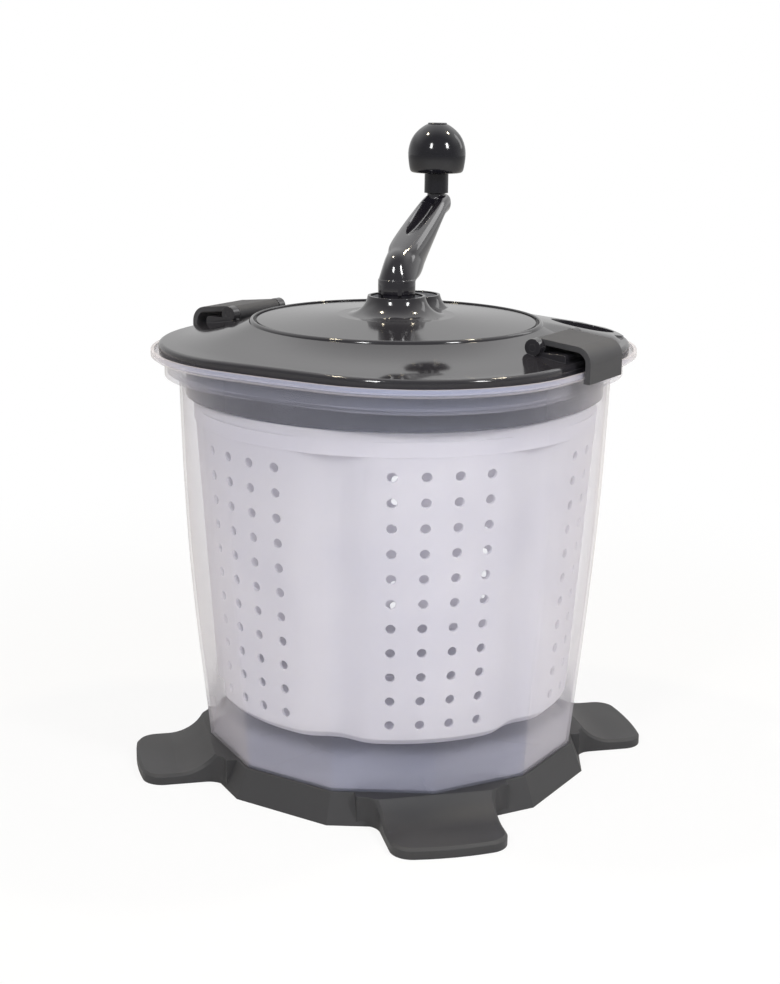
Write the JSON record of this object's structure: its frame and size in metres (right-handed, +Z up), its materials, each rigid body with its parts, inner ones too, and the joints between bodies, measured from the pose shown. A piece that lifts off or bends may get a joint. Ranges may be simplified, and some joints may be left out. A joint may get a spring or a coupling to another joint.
{
  "type": "hand-cranked washing machine",
  "caption": "Hand-cranked tabletop washer and spinner: see-through tub on a tabbed foot, perforated spinning basket, geared clip-on lid and crank.",
  "frame": {"origin": "middle of the footprint, on the floor under the foot", "axes": "+Z up along the basket axis; foot tabs along +X, -X, +Y and -Y; -Y is the front"},
  "size_m": [0.4, 0.4, 0.4823],
  "materials": {
    "foot_plastic": "matte dark grey moulding",
    "tub_plastic": "milky see-through polypropylene",
    "basket_plastic": "white satin polypropylene",
    "lid_plastic": "glossy dark grey",
    "drive_plastic": "dark grey nylon",
    "gear_plastic": "natural acetal",
    "bush_plastic": "natural acetal",
    "crank_plastic": "glossy dark grey",
    "knob_plastic": "glossy dark grey",
    "clip_plastic": "matte dark grey",
    "steel": "plain stainless"
  },
  "bodies": {
    "stand": {"base": "foot_plastic", "tub": "tub_plastic", "pivot_pin": "steel"},
    "basket": {"basket": "basket_plastic", "basket_bush": "bush_plastic"},
    "lid": {"lid": "lid_plastic", "lid_disc": "lid_plastic", "lid_disc_screws": "steel", "drive_bush": "bush_plastic", "spin_bush": "bush_plastic", "clip_pin_right": "lid_plastic", "clip_pin_left": "lid_plastic"},
    "drive": {"drive_shaft": "drive_plastic", "wash_gear": "gear_plastic", "drive_plate": "drive_plastic", "drive_plate_screw": "steel"},
    "spin_drive": {"spin_shaft": "drive_plastic", "spin_gear": "gear_plastic", "spin_ring": "steel"},
    "crank": {"crank_arm": "crank_plastic", "knob_spindle": "steel", "knob_sleeve": "knob_plastic", "knob_screw": "steel"},
    "knob": {"hand_knob": "knob_plastic", "knob_cap": "knob_plastic"},
    "clip_right": {"clip_right": "clip_plastic"},
    "clip_left": {"clip_left": "clip_plastic"}
  },
  "joints": [
    {"name": "basket_spin", "type": "hinge", "parent": "stand", "child": "basket", "pos_m": [0, 0, 0.05], "axis": [0, 0, 1], "continuous": true},
    {"name": "lid_lift", "type": "slide", "parent": "stand", "child": "lid", "axis": [0, 0, 1], "range_m": [0, 0.2]},
    {"name": "crank_spin", "type": "hinge", "parent": "lid", "child": "drive", "pos_m": [0, 0, 0.31], "axis": [0, 0, 1], "continuous": true},
    {"name": "spin_gear_turn", "type": "hinge", "parent": "lid", "child": "spin_drive", "pos_m": [0.02247, 0.0441, 0.33], "axis": [0, 0, 1], "continuous": true},
    {"name": "crank_pull", "type": "slide", "parent": "drive", "child": "crank", "axis": [0, 0, 1], "range_m": [0, 0.05]},
    {"name": "knob_spin", "type": "hinge", "parent": "crank", "child": "knob", "pos_m": [0.04691, 0.07088, 0.46], "axis": [0, 0, 1], "continuous": true},
    {"name": "clip_right_swing", "type": "hinge", "parent": "lid", "child": "clip_right", "pos_m": [0.09334, -0.09334, 0.337], "axis": [-0.7071, -0.7071, 0], "range_deg": [0, 105]},
    {"name": "clip_left_swing", "type": "hinge", "parent": "lid", "child": "clip_left", "pos_m": [-0.09334, 0.09334, 0.337], "axis": [0.7071, 0.7071, 0], "range_deg": [0, 105]}
  ],
  "couplings": [
    {"joint": "crank_spin", "follows": "basket_spin", "ratio": 1},
    {"joint": "spin_gear_turn", "follows": "basket_spin", "ratio": -0.375}
  ]
}
